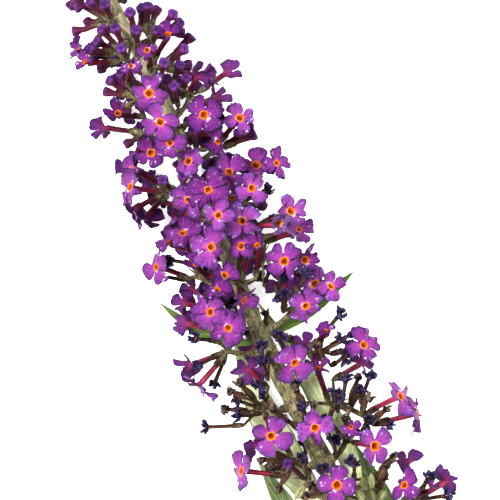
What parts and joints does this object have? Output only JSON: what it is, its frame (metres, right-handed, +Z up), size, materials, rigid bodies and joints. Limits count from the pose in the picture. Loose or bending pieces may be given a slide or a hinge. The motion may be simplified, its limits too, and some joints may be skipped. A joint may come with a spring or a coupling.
{
  "type": "butterfly bush flower spike",
  "caption": "Cut butterfly bush flower spike lying down: purple four-lobed florets in sprays along a felted stem, with a budding tip, withered lower florets and small leaves.",
  "frame": {"origin": "middle of the bounding box's underside, on the surface that the spike lies on", "axes": "+Y along the stem towards the budding tip, +Z up from the surface, +X to the right when looking along +Y"},
  "size_m": [0.042, 0.207, 0.0361],
  "materials": {
    "stem_felt": "matt grey-green felt of short hairs over a soft green stem",
    "petal_purple": "soft satin petals, magenta-purple with an orange ring round the throat",
    "bud_plum": "matt plum buds with a fine down",
    "withered_dark": "dry crumpled florets, dark violet to brown",
    "leaf_green": "matt green upper side, pale felted underside"
  },
  "bodies": {
    "root": {"stem": "stem_felt", "cyme_01_left": "bud_plum", "cyme_01_right": "bud_plum", "cyme_02_back": "bud_plum", "cyme_02_front": "bud_plum", "cyme_03_left": "bud_plum", "cyme_03_right": "bud_plum", "cyme_04_back": "bud_plum", "cyme_04_front": "bud_plum", "cyme_05_left": "bud_plum", "cyme_05_right": "bud_plum", "cyme_06_back": "bud_plum", "cyme_06_front": "bud_plum", "cyme_07_left": "bud_plum", "cyme_07_right": "bud_plum", "cyme_08_back": "petal_purple", "cyme_08_front": "petal_purple", "cyme_09_left": "bud_plum", "cyme_09_right": "petal_purple", "cyme_10_back": "petal_purple", "cyme_10_front": "petal_purple", "cyme_11_left": "petal_purple", "cyme_11_right": "petal_purple", "cyme_12_back": "petal_purple", "cyme_12_front": "petal_purple", "cyme_13_left": "petal_purple", "cyme_13_right": "petal_purple", "cyme_14_back": "petal_purple", "cyme_14_front": "petal_purple", "cyme_15_left": "petal_purple", "cyme_15_right": "petal_purple", "cyme_16_back": "petal_purple", "cyme_16_front": "petal_purple", "cyme_17_left": "petal_purple", "cyme_17_right": "petal_purple", "cyme_18_back": "withered_dark", "cyme_18_front": "withered_dark", "cyme_19_left": "petal_purple", "cyme_19_right": "petal_purple", "cyme_20_left": "withered_dark", "cyme_20_right": "petal_purple", "cyme_21_front": "withered_dark", "cyme_22_left": "petal_purple", "cyme_22_right": "petal_purple", "cyme_23_front": "petal_purple", "cyme_24_left": "withered_dark", "cyme_24_right": "bud_plum", "cyme_25_left": "petal_purple", "cyme_25_right": "petal_purple", "leaf_bract_left": "leaf_green", "leaf_bract_right": "leaf_green", "leaf_lower_left": "leaf_green", "leaf_lower_right": "leaf_green", "leaf_upper_left": "leaf_green", "leaf_upper_right": "leaf_green"}
  },
  "joints": []
}
